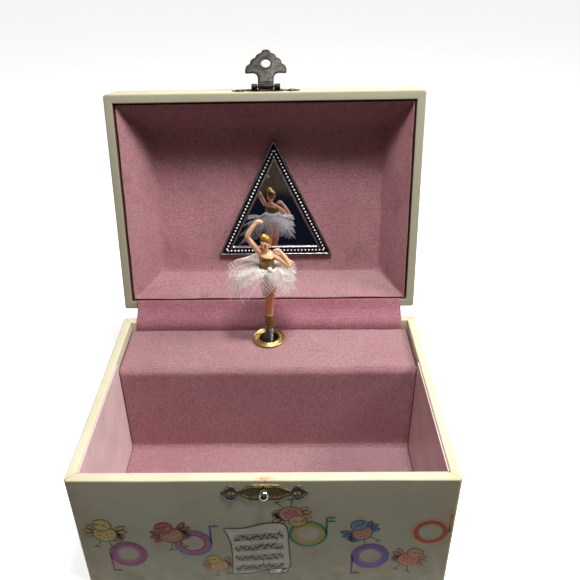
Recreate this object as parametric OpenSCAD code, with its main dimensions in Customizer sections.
// Musical jewellery box of paper-covered board, with a dancer that turns on a sprung
// spindle in front of a triangular mirror. Millimetres, +Z up, front towards -Y.
// The origin is the centre of the underside. The lid is drawn as it stands, open.

/* [Box] */
// Outside width of the box
box_w = 150; // [146:1:156]
// Outside depth of the box, front to back
box_d = 108; // [108:1:114]
// Height of the base, from the table to its rim
base_h = 62; // [62:1:68]
// Thickness of the base's paper-covered boards
wall = 4; // [3:0.5:4]
// Height of the felt floor of the jewellery space
floor_z = 8; // [7:0.5:10]
// Height of the felt platform that the dancer stands on
platform_z = 58; // [58:0.5:60]
// Front face of the felt step below the platform
step_y = 16.3; // [14:0.1:17]

/* [Lid] */
// Angle that the lid stands open, where 0 is closed
lid_open = 100.3; // [90:0.1:110]
// Thickness of the lid's boards
lid_wall = 4.2; // [3.5:0.1:4.5]
// Height of the lid's front wall
lid_wall_h = 24; // [24:1:30]
// Height of the lid's crown above its rim
lid_crown = 33; // [33:1:40]
// Depth of the felt tray inside the lid
tray_depth = 22; // [18:1:22]

/* [Mirror] */
// Width of the triangular mirror frame
mirror_w = 60.6; // [50:0.1:62]
// Height of the triangular mirror frame
mirror_h = 61.8; // [50:0.1:64]
// Width of the frame's border
mirror_border = 4.8; // [3:0.1:6]

/* [Dancer] */
// Sideways place of the spindle
spindle_x = 0.3; // [-2:0.1:2]
// Place of the spindle, front to back
spindle_y = 40.7; // [40.7:0.1:41]
// Outside diameter of the brass eyelet
eyelet_d = 16.5; // [14:0.5:18]
// Outside diameter of the pop-up spring
spring_d = 4.4; // [4.2:0.1:5]

/* [Music movement] */
// Height of the winding arbor
arbor_z = 30; // [30:0.5:31]
// Radius of the drum that carries the tune's pins
drum_r = 6.5; // [5.5:0.1:6.5]
// Number of notes on the comb
notes = 18; // [12:1:18]

/* [Hidden] */
$fn = 64;
eps = 0.01;
overrun = 10;        // how far a cutting tool runs past the faces it cuts
run = 0.06;          // radial clearance of a turning fit

half_w = box_w / 2;
half_d = box_d / 2;
inner_x = half_w - wall;
inner_y = half_d - wall;
card = 2;            // thickness of the inner cards
felt = 1;            // thickness of the felt that covers them
slack = 0.3;         // gap that lets a card or felt drop into the box

// the insert: one card folded down at the front, covered with felt
insert_back = 48;
card_top = platform_z - felt;
insert_x = inner_x - slack;
step_round = 2.2;
lining = 0.5;
lining_gap = 0.1;    // clearance round each strip of the paper lining
lining_top = base_h - 0.8;
eyelet_bore_r = 4.8;
eyelet_hole_r = 5.6; // the hole in the card and felt that the eyelet's tube goes through

// the hinges at the back
hinge_y = half_d + 3.03;
hinge_z = base_h + 0.48;
hinge_x = 45;
hinge_w = 22;
leaf = 0.8;
knuckle_r = 1.6;
pin_r = 0.8;
nail_r = 0.5;
nail_head_r = 1.1;
nail_head = 0.5;
nail_len = 3;

// the middle line of the felt strip behind the insert, as (Y, Z), from the lid downwards
strip_line = [[57.5, 70], [56.2, 67.2], [54.2, 65], [51.6, 63.5], [49.4, 62.6], [48.6, 61.4],
  [48.6, 57.4]];
strip_half = 0.4;

// the lid, in the place where it is closed
lid_z = base_h + 0.3;
lid_ix = half_w - lid_wall;
lid_iy = half_d - lid_wall;
top_t = 3;
rise = lid_crown - lid_wall_h;
dome_r = (half_d * half_d + rise * rise) / (2 * rise);
dome_z = lid_z + lid_crown - dome_r;
tray_z = lid_z + tray_depth;
tray_card = 1.2;
tray_rim = 0.4;      // how far the tray's edge lies inside the rim
rim_x = lid_ix - 0.2;
rim_y = lid_iy - 0.2;
rim_z = lid_z + tray_rim;
tray_left = -58;
tray_right = 59;
tray_front = -35;
tray_rear = 41.5;

// the mirror
mirror_x = 3.5;
mirror_base_y = 32;
mirror_t = 2;
glass_t = 1.1;
glass_lip = 1;
mirror_side = norm([mirror_w / 2, mirror_h]);
mirror_in_r = mirror_w * mirror_h / (mirror_w + 2 * mirror_side);
mirror_mid = [mirror_x, mirror_base_y - mirror_in_r];

// the catch
catch_x = 0.7;
stud_z = base_h - 4;
stud_plate_z = base_h - 6.5;
ball_out = 3.8;      // from the board to the middle of the ball
ball_neck_r = 1.3;
plate_t = 0.5;
hasp_reach = 12;     // from the hasp's pin to the middle of its hole
hasp_lean = 33;      // how far the loose leaf leans back from square to its plate
hasp_pin_z = stud_z + hasp_reach;
hasp_pin_y = -half_d - 2.1;
hasp_t = 0.7;
hasp_hole_r = 2.25;
hasp_knuckle_r = 1.25;
hasp_pin_r = 0.55;

// the dancer's drive
crown_r = 16;
crown_teeth = 48;
crown_half = 1;
pinion_teeth = 12;
pinion_root = 3;
pinion_tip = 4.9;
crown_face = spindle_y + 5.6;
crown_t = 1.3;
tooth_w = 0.6;
tooth_h = crown_face - spindle_y - 3.5;
bed_y = 48.4;
bed_t = inner_y - bed_y;
bed_top = 50.4;
arbor_r = 2.5;
house_r = 14;
house_front = 24.6;
house_back = 41.5;
post_r = 20.6;
post_angles = [180, 240, 300];
spring_turns = 6;    // of the mainspring
spring_step = 15;    // degrees between its points
spring_strip = 0.45;
spindle_r = 1.1;
foot_z = platform_z + 7;
tube_z = 56.2;       // lower end of the pop-up spring

// the pinned drum, the comb and the governor
drum_x = [20, 41];
gear_x = [44, 45.2];
gear_teeth = 27;
idler_teeth = 9;
idler_z = arbor_z + 9.1;
drum_shaft_r = 0.9;
idler_r = 0.6;
fly_x = 51;
fly_y = spindle_y - 5.75;
fly_r = 0.8;
fly_pivot_r = 0.4;
worm_len = 7;
worm_starts = 3;
wheel_teeth = 18;
worm_lead = worm_starts * 2 * PI * 3.8 / wheel_teeth;
arm_low = 29;
arm_high = 48.9;
post_x = [56, 57.2];
wire_r = 0.4;
wire_z = 53;
wire_y = 49.5;
finger_y = fly_y + 3.65;
screw_places = [[-20, 10], [-20, 44], [57.4, 10], [57.4, 44]];
comb_top = arbor_z - drum_r - 0.8;
comb_low = 8;
comb_y = spindle_y - 0.4;
comb_places = [24, 37];

paper = "#efe8d2";
pink = "#d795a4";
brass = "#c79a3c";
steel = "#9a9ca0";
bronze = "#5a4a36";

// ---- shapes that repeat ----

// Draws a profile of (Y, Z) points along +X, from x0
module along_x(x0, length) translate([x0, 0, 0]) rotate([90, 0, 90])
  linear_extrude(length) children();

// Draws a profile of (X, Z) points from y0 towards the back
module to_back(y0, length) translate([0, y0 + length, 0]) rotate([90, 0, 0])
  linear_extrude(length) children();

// A rod along X, Y or Z, from a point
module rod_x(p, length, r) translate(p) rotate([0, 90, 0]) cylinder(h = length, r = r);
module rod_y(p, length, r) translate(p) rotate([-90, 0, 0]) cylinder(h = length, r = r);
module rod_z(p, length, r) translate(p) cylinder(h = length, r = r);

// A block between two corners
module block(low, high) translate(low) cube(high - low);

// One of four boards whose ends are cut at 45 degrees, side 0 front, 1 right, 2 rear, 3 left
module mitred(side, x, y, t, low, high) {
  corners = [[-x, -y], [x, -y], [x, y], [-x, y]];
  inside = [[t - x, t - y], [x - t, t - y], [x - t, y - t], [t - x, y - t]];
  next = (side + 1) % 4;
  translate([0, 0, low])
    linear_extrude(high - low)
      polygon([corners[side], corners[next], inside[next], inside[side]]);
}

// A wheel with straight-sided teeth, the first one centred on +X
module toothed(teeth, root_r, tip_r, root_w, tip_w) {
  foot_r = root_r - 0.3;
  circle(r = root_r);
  for (k = [0 : teeth - 1])
    rotate(k * 360 / teeth)
      polygon([[foot_r, -root_w / 2], [tip_r, -tip_w / 2], [tip_r, tip_w / 2], [foot_r, root_w / 2]]);
}

// A list in the other order
function reversed(list) = [for (k = [len(list) - 1 : -1 : 0]) list[k]];

// The points of an arc about a middle point, from one angle to another
function arc(mid, r, from, to, steps = 8) = [for (k = [0 : steps])
  let (a = from + (to - from) * k / steps) mid + r * [cos(a), sin(a)]];

// A round limb that tapers between two points, with round ends
module limb(a, b, ra, rb) hull() {
  translate(a) sphere(r = ra, $fn = 18);
  translate(b) sphere(r = rb, $fn = 18);
}

// A nail whose shank goes into a board that faces -Y (way 1) or +Y (way -1)
module nail(p, way) translate(p) rotate([-90 * way, 0, 0]) {
  cylinder(h = nail_len, r = nail_r);
  translate([0, 0, -nail_head]) cylinder(h = nail_head, r1 = nail_head_r * 0.6, r2 = nail_head_r);
}

// Turns what is drawn in its closed place back to the open lid
module opened() translate([0, hinge_y, hinge_z]) rotate([-lid_open, 0, 0])
  translate([0, -hinge_y, -hinge_z]) children();

// ---- base ----

module base_bottom() color(paper) block([-inner_x, -inner_y, 0], [inner_x, inner_y, wall]);

module base_front_wall() color(paper) mitred(0, half_w, half_d, wall, 0, base_h);

module base_right_wall() color(paper) mitred(1, half_w, half_d, wall, 0, base_h);

module base_left_wall() color(paper) mitred(3, half_w, half_d, wall, 0, base_h);

module base_rear_wall() color(paper) difference() {
  mitred(2, half_w, half_d, wall, 0, base_h);
  rod_y([spindle_x, inner_y - overrun, arbor_z], wall + 2 * overrun, 4);
  for (p = screw_places) rod_y([p.x, inner_y - overrun, p.y], wall + 2 * overrun, 1.3);
}

module floor_card() color("#8d8579")
  block([slack - inner_x, slack - inner_y, wall], [inner_x - slack, inner_y - slack, floor_z - felt]);

module floor_felt() color(pink)
  block([lining + slack - inner_x, lining + slack - inner_y, floor_z - felt],
    [inner_x - lining - slack, step_y - eps, floor_z]);

// The step and platform seen from the side, from a height up to a top, with a round front edge
module step_profile(front, thick, low, top, round_r) difference() {
  union() {
    translate([front + round_r, top - round_r]) circle(r = round_r);
    translate([front, low]) square([insert_back - front, top - low - round_r]);
    translate([front + round_r, top - round_r]) square([insert_back - front - round_r, round_r]);
  }
  translate([front + thick, low - overrun]) square([insert_back, top - thick - low + overrun]);
}

module insert_card() color("#8d8579") difference() {
  along_x(-insert_x, 2 * insert_x)
    step_profile(step_y + felt, card, floor_z - felt, card_top, step_round - felt);
  rod_z([spindle_x, spindle_y, 0], base_h, eyelet_hole_r);
}

module insert_felt() color(pink) difference() {
  along_x(-insert_x, 2 * insert_x)
    step_profile(step_y, felt, floor_z - felt, platform_z, step_round);
  rod_z([spindle_x, spindle_y, 0], base_h, eyelet_hole_r);
}

module paper_lining() color("#e3b9bd") {
  low_z = floor_z - felt;
  front_y = lining_gap - inner_y;
  side_x = inner_x - lining_gap - lining;
  for (side = [-1, 1])
    translate([side * (side_x + lining / 2), 0, 0])
      block([-lining / 2, front_y + lining + lining_gap, low_z],
        [lining / 2, step_y - lining_gap, lining_top]);
  block([lining_gap - side_x, front_y, low_z],
    [side_x - lining_gap, front_y + lining, lining_top]);
}

// A tube through the felt with a flat flange and two rounded rings on top
module eyelet() color(brass) translate([spindle_x, spindle_y, platform_z]) rotate_extrude() {
  bead_r = 0.6;
  translate([eyelet_bore_r, -3.2]) square([bead_r, 3.4]);
  translate([eyelet_bore_r, eps]) square([eyelet_d / 2 - eyelet_bore_r - bead_r, 0.4]);
  for (r = [eyelet_bore_r + bead_r, eyelet_d / 2 - bead_r])
    translate([r, 0.5]) circle(r = bead_r - eps / 2);
}

// ---- catch on the base ----

// The outline of both catch plates: a wide middle, a narrow waist each side, and at each end
// a point between two round lobes
module plate_outline(w, h) {
  corner = concat([[0.17 * w, 0.5 * h], [0.29 * w, 0.12 * h]],
    arc([0.37 * w, 0.22 * h], 0.25 * h, 200, -30));
  half = concat(corner, [[0.5 * w, 0]], reversed([for (p = corner) [p.x, -p.y]]));
  polygon(concat(half, reversed([for (p = half) [-p.x, p.y]])));
}

module stud_plate() color("#c9bb8c") difference() {
  to_back(-half_d - plate_t, plate_t) translate([catch_x, stud_plate_z]) plate_outline(33.6, 8.9);
  rod_y([catch_x, -half_d - overrun, stud_z], 2 * overrun, ball_neck_r);
}

module ball_stud() color("#d8d4c8") {
  rod_y([catch_x, -half_d - ball_out, stud_z], ball_out, ball_neck_r);
  translate([catch_x, -half_d - ball_out, stud_z]) sphere(r = 1.9);
}

module base_nails() color(brass) {
  for (side = [-1, 1]) nail([catch_x + side * 12.5, -half_d - plate_t, stud_plate_z], 1);
  hinge_nails() nail([0, half_d + leaf, hinge_z - 8.5], -1);
}

// ---- hinges ----

// Repeats a nail at three places across each hinge
module hinge_nails() for (x = [-hinge_x, hinge_x], dx = [-7.5, 0, 7.5])
  translate([x + dx, 0, 0]) children();

// A leaf's side view: a plate on the board and a bent arm to the knuckle, up is 1 or -1
module leaf_plate(up) translate([half_d, hinge_z + (up > 0 ? 1.6 : -12.6)]) square([leaf, 11]);

module leaf_arm(up) {
  translate([half_d, hinge_z + (up > 0 ? 1.6 : -2.6)]) square([leaf + 0.9, 1]);
  translate([half_d + leaf, hinge_z + (up > 0 ? 0.9 : -2.2)]) square([hinge_y - half_d - leaf, 1.3]);
}

module hinge_base_leaves() color(brass) for (x = [-hinge_x, hinge_x]) difference() {
  union() {
    along_x(x - hinge_w / 2, hinge_w) leaf_plate(-1);
    for (x0 = [-hinge_w / 2, 4]) {
      along_x(x + x0, hinge_w / 2 - 4) leaf_arm(-1);
      rod_x([x + x0, hinge_y, hinge_z], hinge_w / 2 - 4, knuckle_r);
    }
  }
  rod_x([x - hinge_w, hinge_y, hinge_z], 2 * hinge_w, pin_r + 0.02);
}

module hinge_pins() color(steel)
  for (x = [-hinge_x, hinge_x]) rod_x([x - hinge_w / 2, hinge_y, hinge_z], hinge_w, pin_r);

module hinge_lid_leaves() color(brass) opened() for (x = [-hinge_x, hinge_x]) difference() {
  union() {
    along_x(x - hinge_w / 2, hinge_w) leaf_plate(1);
    along_x(x - 3.7, 7.4) leaf_arm(1);
    rod_x([x - 3.7, hinge_y, hinge_z], 7.4, knuckle_r);
  }
  rod_x([x - hinge_w, hinge_y, hinge_z], 2 * hinge_w, pin_r + run);
}

// The side of the felt strip, half its thickness away from its middle line
function strip_side(way) = [for (k = [0 : len(strip_line) - 1])
  let (a = strip_line[max(k - 1, 0)],
       b = strip_line[min(k + 1, len(strip_line) - 1)],
       d = (b - a) / norm(b - a))
  strip_line[k] + way * strip_half * [-d.y, d.x]];

// The strip hides the gap at the back, and is cut away round the eyelet
module felt_hinge_strip() color("#b97484") difference() {
  along_x(-68, 136) polygon(concat(strip_side(1), reversed(strip_side(-1))));
  rod_z([spindle_x, spindle_y, floor_z], platform_z - floor_z + 1.6, eyelet_d / 2 + 0.3);
}

// ---- music movement, fixed pieces ----

module movement_bedplate() color(steel) difference() {
  union() {
    block([-24, bed_y, 7], [61, inner_y, bed_top]);
    block([drum_x[0], comb_y + 1, comb_low], [drum_x[1], bed_y + eps, comb_low + 4.5]);
  }
  rod_y([spindle_x, bed_y - overrun, arbor_z], 2 * overrun, arbor_r + run);
  for (p = screw_places) rod_y([p.x, bed_y - overrun, p.y], 2 * overrun, 1.25);
  for (x = comb_places) rod_y([x, comb_y, comb_low + 2.4], 5, 0.95);
}

module bedplate_screws() color("#8a8d90") for (p = screw_places) difference() {
  union() {
    rod_y([p.x, bed_y + 0.2, p.y], half_d - bed_y - 0.2, 1.2);
    rod_y([p.x, half_d, p.y], 1.2, 2.6);
  }
  translate([p.x, half_d + 1.2, p.y]) cube([6, 1, 0.6], center = true);
}

module spring_housing() color("#b9bbbd") difference() {
  union() {
    rod_y([spindle_x, house_front, arbor_z], house_back - house_front, house_r);
    to_back(house_back - 1.5, 1.5) translate([spindle_x, arbor_z]) for (a = post_angles) rotate(a) {
      translate([0, -2.4]) square([post_r, 4.8]);
      translate([post_r, 0]) circle(r = 2.4);
    }
    for (a = post_angles)
      rod_y([spindle_x + post_r * cos(a), house_back - 1, arbor_z + post_r * sin(a)],
        bed_y - house_back + 1, 1.6);
  }
  rod_y([spindle_x, house_front + 1, arbor_z], house_back - house_front - 2.5, house_r - 1);
  rod_y([spindle_x, house_front - overrun, arbor_z], 3 * overrun, arbor_r + run);
}

// Radius of the mainspring's spiral at an angle
function spiral(a) = 3.4 + 9 * a / (360 * spring_turns);

module mainspring() color("#3c4048") to_back(house_front + 2.4, 12) translate([spindle_x, arbor_z])
  polygon(concat(
    [for (a = [0 : spring_step : 360 * spring_turns]) (spiral(a) + spring_strip) * [cos(a), sin(a)]],
    [for (a = [360 * spring_turns : -spring_step : 0]) spiral(a) * [cos(a), sin(a)]]));

module spindle_bracket() color(steel) difference() {
  union() {
    block([spindle_x - 6, spindle_y - 4, 49], [spindle_x + 6, bed_y, 50.2]);
    block([spindle_x - 6, bed_y - 1, 48.3], [spindle_x + 6, bed_y, bed_top]);
    rod_z([spindle_x, spindle_y, 49], 4.8, 2.4);
  }
  rod_z([spindle_x, spindle_y, 40], 20, spindle_r + run);
}

module drum_brackets() color(steel) {
  difference() {
    block([18.5, spindle_y - 4, arbor_z - 4], [19.3, bed_y, arbor_z + 4]);
    rod_x([0, spindle_y, arbor_z], 30, drum_shaft_r + run);
  }
  difference() {
    block([42, spindle_y - 4, arbor_z - 5], [42.8, bed_y, idler_z + 4]);
    rod_x([30, spindle_y, arbor_z], 30, drum_shaft_r + run);
    rod_x([30, spindle_y, idler_z], 30, idler_r + run);
  }
}

module comb() color("#c8cacc") {
  track = (drum_x[1] - drum_x[0]) / notes;
  difference() {
    block([drum_x[0], comb_y, comb_low], [drum_x[1], comb_y + 1, comb_low + 5]);
    for (x = comb_places) rod_y([x, comb_y - 1, comb_low + 2.4], 3, 0.95);
  }
  for (k = [0 : notes - 1])
    block([drum_x[0] + (k + 0.16) * track, comb_y + 0.2, comb_low + 5 - eps],
      [drum_x[0] + (k + 0.84) * track, comb_y + 0.8, comb_top]);
}

module comb_screws() color("#8a8d90") for (x = comb_places) {
  rod_y([x, comb_y - 1, comb_low + 2.4], 5.6, 0.9);
  rod_y([x, comb_y - 1, comb_low + 2.4], 1, 1.8);
}

module governor_frame() color(brass) difference() {
  union() {
    block([post_x[0], fly_y - 4, arm_low], [post_x[1], bed_y, arm_high + 1]);
    block([fly_x - 3.5, fly_y - 4, arm_low], [post_x[1], fly_y + 3, arm_low + 1]);
    block([fly_x - 3.5, fly_y - 4, arm_high], [post_x[1], finger_y + 3, arm_high + 1]);
  }
  rod_z([fly_x, fly_y, arm_low - overrun], 60, fly_pivot_r + run);
  rod_z([fly_x, finger_y, arm_high - overrun], 30, wire_r + run);
  rod_x([fly_x, spindle_y, idler_z], 20, idler_r + run);
}

// ---- music movement, turning pieces ----

module winding_arbor() color(steel)
  rod_y([spindle_x, house_front - 1.8, arbor_z], half_d + 5 - house_front, arbor_r);

// The crown wheel's teeth stand up from its front face, so it drives pinions square to it
module crown_wheel() color(brass) translate([spindle_x, crown_face, arbor_z]) rotate([-90, 0, 0]) {
  difference() {
    cylinder(h = crown_t, r = crown_r + crown_half);
    translate([0, 0, -1]) cylinder(h = crown_t + 2, r = arbor_r);
  }
  for (k = [0 : crown_teeth - 1])
    rotate(k * 360 / crown_teeth)
      translate([crown_r - crown_half, -tooth_w / 2, -tooth_h])
        cube([2 * crown_half - 0.1, tooth_w, tooth_h + eps]);
}

module key_bow() difference() {
  union() {
    for (side = [-1, 1]) translate([side * 6.2, 0]) circle(r = 5.2);
    square([8, 6], center = true);
  }
  for (side = [-1, 1]) translate([side * 7, 0]) circle(r = 2.3);
}

module winding_key() color("#c8b06a") {
  difference() {
    rod_y([spindle_x, half_d + 0.8, arbor_z], 8, 3.7);
    rod_y([spindle_x, half_d - 4, arbor_z], 7.2, arbor_r);
  }
  translate([spindle_x, half_d + 13.2, arbor_z]) linear_extrude(1.8, center = true) key_bow();
}

module pinion_teeth_2d() toothed(pinion_teeth, pinion_root, pinion_tip, 1.1, 0.42);

module spindle() color(steel) {
  rod_z([spindle_x, spindle_y, 44.4], 12, spindle_r);
  rod_z([spindle_x, spindle_y, 56], 3.4, 1.5);
}

module spindle_pinion() color(brass) translate([spindle_x, spindle_y, 44.6]) difference() {
  rotate(90 + 180 / pinion_teeth) linear_extrude(3.2) pinion_teeth_2d();
  translate([0, 0, -1]) cylinder(h = 6, r = spindle_r);
}

module drum_arbor() color(steel) {
  low_x = spindle_x + crown_r - crown_half - 0.6;
  rod_x([low_x, spindle_y, arbor_z], gear_x[1] + 0.8 - low_x, drum_shaft_r);
  along_x(low_x, 3.2) translate([spindle_y, arbor_z]) rotate(180 / pinion_teeth) pinion_teeth_2d();
}

// The tune's pins are spread round the drum, a few on each note's track
module pinned_drum() color("#b4a878") {
  track = (drum_x[1] - drum_x[0]) / notes;
  difference() {
    rod_x([drum_x[0], spindle_y, arbor_z], drum_x[1] - drum_x[0], drum_r);
    rod_x([drum_x[0] - 1, spindle_y, arbor_z], 40, drum_shaft_r);
  }
  for (k = [0 : notes - 1], pin = [0 : 3])
    translate([drum_x[0] + (k + 0.5) * track, spindle_y, arbor_z])
      rotate([k * 137 + pin * 83, 0, 0])
        translate([-0.2, -0.2, drum_r - 0.3]) cube([0.4, 0.4, 0.8]);
}

module drum_gear() color(brass) difference() {
  along_x(gear_x[0], gear_x[1] - gear_x[0]) translate([spindle_y, arbor_z])
    rotate(90) toothed(gear_teeth, 6.2, 7.15, 0.9, 0.4);
  rod_x([40, spindle_y, arbor_z], 10, drum_shaft_r);
}

module idler() color(steel) {
  rod_x([42, spindle_y, idler_z], post_x[1] - 42, idler_r);
  along_x(gear_x[0] - 0.1, gear_x[1] - gear_x[0] + 0.2) translate([spindle_y, idler_z])
    rotate(180 / idler_teeth - 90) toothed(idler_teeth, 1.55, 2.7, 0.85, 0.35);
}

module worm_wheel() color(brass) difference() {
  along_x(fly_x - 0.8, 1.6) translate([spindle_y, idler_z]) toothed(wheel_teeth, 3.5, 4.1, 0.8, 0.4);
  rod_x([40, spindle_y, idler_z], 20, idler_r);
}

// A worm with three starts, as a round-lobed bar twisted along its length
module fly_shaft() color(steel) translate([fly_x, fly_y, 0]) {
  translate([0, 0, arm_low + 0.1]) cylinder(h = arm_high - arm_low + 0.6, r = fly_pivot_r);
  translate([0, 0, arm_low + 1.4]) cylinder(h = arm_high - arm_low - 1.8, r = fly_r);
  translate([0, 0, idler_z - worm_len / 2])
    linear_extrude(worm_len, twist = 360 * worm_len / worm_lead, slices = 24)
      for (k = [1 : worm_starts])
        rotate(360 * k / worm_starts) translate([0.72, 0]) circle(r = 0.8, $fn = 10);
}

module fly_blades() color("#c0762c") translate([fly_x, fly_y, idler_z + 5.2]) difference() {
  union() {
    cylinder(h = 4, r = 1.4);
    translate([-4.3, -0.2, 0]) cube([8.6, 0.4, 4]);
  }
  translate([0, 0, -1]) cylinder(h = 6, r = fly_r);
}

module stop_wire() color(steel) {
  rod_z([fly_x, wire_y, wire_z], 7.6, wire_r);
  rod_y([fly_x, finger_y, wire_z], wire_y - finger_y, wire_r);
  rod_z([fly_x, finger_y, idler_z + 9.5], wire_z - idler_z - 9.5, wire_r);
  for (y = [wire_y, finger_y]) translate([fly_x, y, wire_z]) sphere(r = wire_r);
}

// ---- dancer ----

module pop_up_spring() color("#4c4c4e") translate([spindle_x, spindle_y, tube_z]) difference() {
  cylinder(h = foot_z - tube_z - 0.1, r = spring_d / 2);
  translate([0, 0, -1]) cylinder(h = 20, r = spring_d / 2 - 0.6);
}

module dancer_figure() color("#f0b48c") translate([spindle_x, spindle_y, foot_z]) {
  translate([0, 0, -2.4]) cylinder(h = 3.4, r = 1.5, $fn = 32);
  limb([0, -0.2, 1.2], [0, 0, 5.5], 1.25, 1.9);
  for (side = [-1, 1]) {
    limb([side * 0.7, 0, 5.5], [side * 1, 0, 14], 1.2, 1.5);
    limb([side * 1, 0, 14], [side * 1.5, 0, 28], 1.5, 2.2);
  }
  limb([0, 0, 29.5], [0, 0, 35.5], 3.3, 2.9);
  limb([0, 0, 35.5], [-0.4, 0, 40], 2.9, 3.2);
  limb([-3.2, 0, 42.4], [2.5, 0, 41], 1.4, 1.4);
  limb([-0.5, 0, 42], [-0.7, -0.4, 46], 1.2, 1.1);
  limb([-0.7, -0.5, 46.4], [-0.7, -0.3, 47.8], 2.5, 2.7);
  limb([-3.6, 0, 42.8], [-9, -0.5, 50.4], 1.2, 1);
  limb([-9, -0.5, 50.4], [-2.4, -1, 56.6], 1, 0.8);
  limb([2.8, 0, 41.2], [11.8, -1, 34.4], 1.2, 1);
  limb([11.8, -1, 34.4], [5.6, -2.6, 42.6], 1, 0.8);
}

module tutu() color("white") translate([spindle_x, spindle_y, foot_z]) rotate_extrude()
  polygon([[4.4, 34.2], [12, 31], [20, 28], [20.2, 24], [13, 17.6], [4.4, 22]]);

module waist_bead() color("#f4efe4")
  translate([spindle_x + 1.6, spindle_y - 4.2, foot_z + 35.6]) sphere(r = 1.1);

// ---- lid, drawn closed and then opened ----

// What lies under the lid's curved top
module under_dome(r) along_x(-box_w, 2 * box_w) translate([0, dome_z]) circle(r = r, $fn = 256);

module lid_side(side) color(paper) opened() intersection() {
  mitred(side, half_w, half_d, lid_wall, lid_z, lid_z + lid_crown);
  under_dome(dome_r - top_t);
}

module lid_front_wall() lid_side(0);

module lid_right_wall() lid_side(1);

module lid_rear_wall() lid_side(2);

module lid_left_wall() lid_side(3);

module lid_top() color(paper) opened() intersection() {
  difference() {
    under_dome(dome_r);
    under_dome(dome_r - top_t);
  }
  block([-half_w, -half_d, lid_z + 10], [half_w, half_d, lid_z + lid_crown + overrun]);
}

// One sloping board of the felt tray, thick upwards, between two edges of four points
module tray_board(p) polyhedron(
  points = concat(p, [for (q = p) q + [0, 0, tray_card]]),
  faces = [[0, 1, 2, 3], [7, 6, 5, 4], [0, 4, 5, 1], [1, 5, 6, 2], [2, 6, 7, 3], [3, 7, 4, 0]]);

module lid_liner_front() color(pink) opened() tray_board([
  [-rim_x, -rim_y, rim_z], [tray_left, tray_front, tray_z],
  [tray_right, tray_front, tray_z], [rim_x, -rim_y, rim_z]]);

module lid_liner_rear() color(pink) opened() tray_board([
  [rim_x, rim_y, rim_z], [tray_right, tray_rear, tray_z],
  [tray_left, tray_rear, tray_z], [-rim_x, rim_y, rim_z]]);

module lid_liner_sides() color(pink) opened() {
  tray_board([[-rim_x, rim_y, rim_z], [tray_left, tray_rear, tray_z],
    [tray_left, tray_front, tray_z], [-rim_x, -rim_y, rim_z]]);
  tray_board([[rim_x, -rim_y, rim_z], [tray_right, tray_front, tray_z],
    [tray_right, tray_rear, tray_z], [rim_x, rim_y, rim_z]]);
}

module lid_liner_panel() color(pink) opened()
  block([tray_left, tray_front, tray_z], [tray_right, tray_rear, tray_z + tray_card]);

// The mirror's triangle, its sides moved in by a distance
module triangle(inset) translate(mirror_mid) scale(1 - inset / mirror_in_r) polygon([
  [-mirror_w / 2, mirror_in_r], [mirror_w / 2, mirror_in_r], [0, mirror_in_r - mirror_h]]);

module mirror_frame() color("#c4c6c8") opened() translate([0, 0, tray_z - mirror_t]) difference() {
  linear_extrude(mirror_t) triangle(0);
  translate([0, 0, -1]) linear_extrude(mirror_t + 2) triangle(mirror_border);
  translate([0, 0, mirror_t - glass_t]) linear_extrude(glass_t + 1) triangle(mirror_border - glass_lip);
}

module mirror_glass() color("#aab4bc") opened() translate([0, 0, tray_z - glass_t + 0.02])
  linear_extrude(glass_t - 0.04) triangle(mirror_border - glass_lip + 0.05);

// ---- hasp ----

// The two outer knuckles of the plate leave room for the leaf's one
module hasp_plate() color(bronze) opened() difference() {
  union() {
    to_back(-half_d - plate_t, plate_t) translate([catch_x, hasp_pin_z]) plate_outline(32.5, 7.6);
    for (side = [-1, 1]) translate([catch_x + side * 5.4, 0, 0]) {
      rod_x([-1.4, hasp_pin_y, hasp_pin_z], 2.8, hasp_knuckle_r);
      block([-1.4, hasp_pin_y, hasp_pin_z - 0.5], [1.4, -half_d, hasp_pin_z + 0.5]);
    }
  }
  rod_x([-30, hasp_pin_y, hasp_pin_z], 60, hasp_pin_r + 0.01);
}

module hasp_pin() color(bronze) opened() rod_x([catch_x - 6.8, hasp_pin_y, hasp_pin_z], 13.6, hasp_pin_r);

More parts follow.
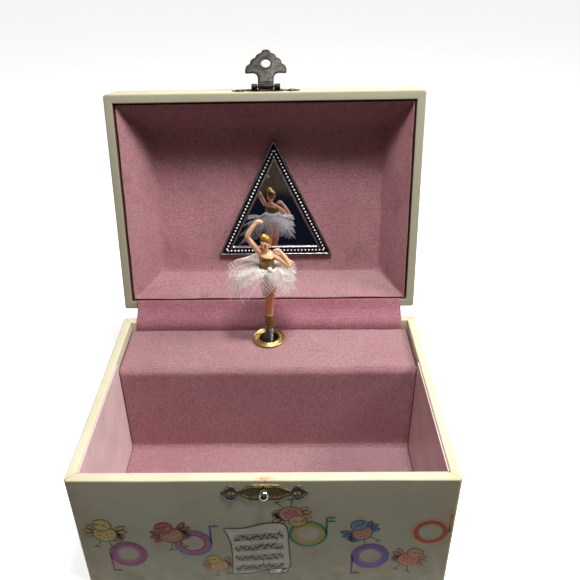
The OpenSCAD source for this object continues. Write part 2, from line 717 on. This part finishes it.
// The leaf's outline, from its knuckle towards its tip
module leaf_outline() difference() {
  union() {
    translate([-3.6, -8]) square([7.2, 8]);
    polygon([[-8.6, -6.5], [8.6, -6.5], [8.6, -8.6], [2, -17], [-2, -17], [-8.6, -8.6]]);
    for (side = [-1, 1]) {
      translate([side * 7.4, -8.8]) circle(r = 2.4);
      translate([side * 5, -11.4]) circle(r = 2.8);
      translate([side * 2.6, -14]) circle(r = 3);
    }
    translate([0, -16.9]) circle(r = 2.4);
  }
  translate([0, -hasp_reach]) circle(r = hasp_hole_r);
}

module hasp_leaf() color(bronze) opened() translate([catch_x, hasp_pin_y, hasp_pin_z])
  rotate([-hasp_lean, 0, 0]) difference() {
  union() {
    translate([0, 0, -hasp_t / 2]) linear_extrude(hasp_t) leaf_outline();
    rod_x([-3.6, 0, 0], 7.2, hasp_knuckle_r);
  }
  rod_x([-10, 0, 0], 20, hasp_pin_r + run);
}

module lid_nails() color(brass) opened() {
  for (side = [-1, 1]) nail([catch_x + side * 12.2, -half_d - plate_t, hasp_pin_z], 1);
  hinge_nails() nail([0, half_d + leaf, hinge_z + 8.5], -1);
}

base_bottom();
base_front_wall();
base_rear_wall();
base_left_wall();
base_right_wall();
floor_card();
floor_felt();
insert_card();
insert_felt();
paper_lining();
eyelet();
movement_bedplate();
bedplate_screws();
spring_housing();
mainspring();
spindle_bracket();
drum_brackets();
comb();
comb_screws();
governor_frame();
stud_plate();
ball_stud();
hinge_base_leaves();
hinge_pins();
base_nails();
felt_hinge_strip();
winding_arbor();
crown_wheel();
winding_key();
spindle();
spindle_pinion();
drum_arbor();
pinned_drum();
drum_gear();
idler();
worm_wheel();
fly_shaft();
fly_blades();
stop_wire();
pop_up_spring();
dancer_figure();
tutu();
waist_bead();
lid_front_wall();
lid_rear_wall();
lid_left_wall();
lid_right_wall();
lid_top();
lid_liner_front();
lid_liner_rear();
lid_liner_sides();
lid_liner_panel();
mirror_frame();
mirror_glass();
hasp_plate();
hasp_pin();
hasp_leaf();
hinge_lid_leaves();
lid_nails();
